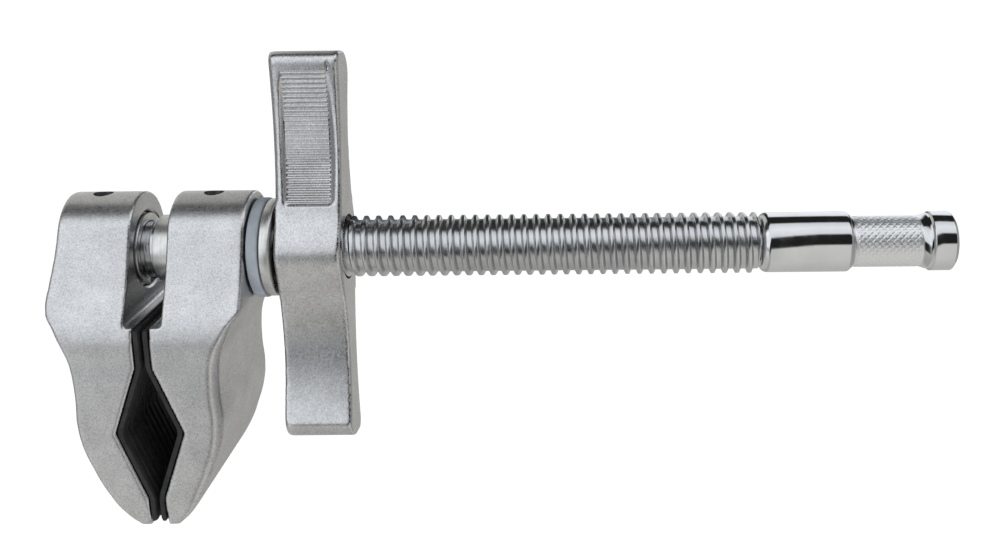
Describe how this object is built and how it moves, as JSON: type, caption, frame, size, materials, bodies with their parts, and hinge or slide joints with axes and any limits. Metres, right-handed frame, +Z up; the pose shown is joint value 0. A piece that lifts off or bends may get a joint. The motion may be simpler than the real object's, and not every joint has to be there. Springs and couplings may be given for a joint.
{
  "type": "end-jaw vise clamp with mounting pin",
  "caption": "Screw-driven cast vise clamp with rubber-lined V jaws, a wing handle and a 5/8 inch mounting pin on the screw's free end.",
  "frame": {"origin": "centre of the mounting pin's free end face", "axes": "+X along the screw, out of the mounting pin's free end, with the jaws on the -X side; +Z up, with the jaw tips pointing down"},
  "size_m": [0.2298, 0.0434, 0.1189],
  "materials": {
    "chrome": "polished plating",
    "cast_aluminium": "blasted casting",
    "rubber": "moulded with fine treads",
    "plain_steel": "turned",
    "dark_steel": "black oxide",
    "nylon": "smooth",
    "bronze": "turned"
  },
  "bodies": {
    "screw_body": {"threaded_rod": "chrome", "baby_pin": "chrome", "fixed_jaw": "cast_aluminium", "fixed_jaw_pad": "rubber", "fixed_jaw_bush": "plain_steel", "fixed_jaw_roll_pin": "dark_steel", "rod_shoulder_ring": "plain_steel", "rod_end_washer": "plain_steel", "rod_end_ring": "dark_steel"},
    "jaw_body": {"moving_jaw": "cast_aluminium", "moving_jaw_pad": "rubber", "moving_jaw_bush": "plain_steel", "moving_jaw_key_screw": "dark_steel", "thrust_washer": "nylon"},
    "handle_body": {"handle": "cast_aluminium", "handle_nut": "bronze", "handle_nut_key_upper": "plain_steel", "handle_nut_key_lower": "plain_steel", "hub_collar": "plain_steel"}
  },
  "joints": [
    {"name": "jaw_slide", "type": "slide", "parent": "screw_body", "child": "jaw_body", "axis": [1, 0, 0], "range_m": [-0.0005, 0.0508]},
    {"name": "handle_spin", "type": "hinge", "parent": "jaw_body", "child": "handle_body", "pos_m": [-0.1658, 0, 0], "axis": [1, 0, 0], "range_deg": [-55, 5745]}
  ],
  "couplings": [
    {"joint": "jaw_slide", "follows": "handle_spin", "m_per_rad": 0.00050532}
  ]
}
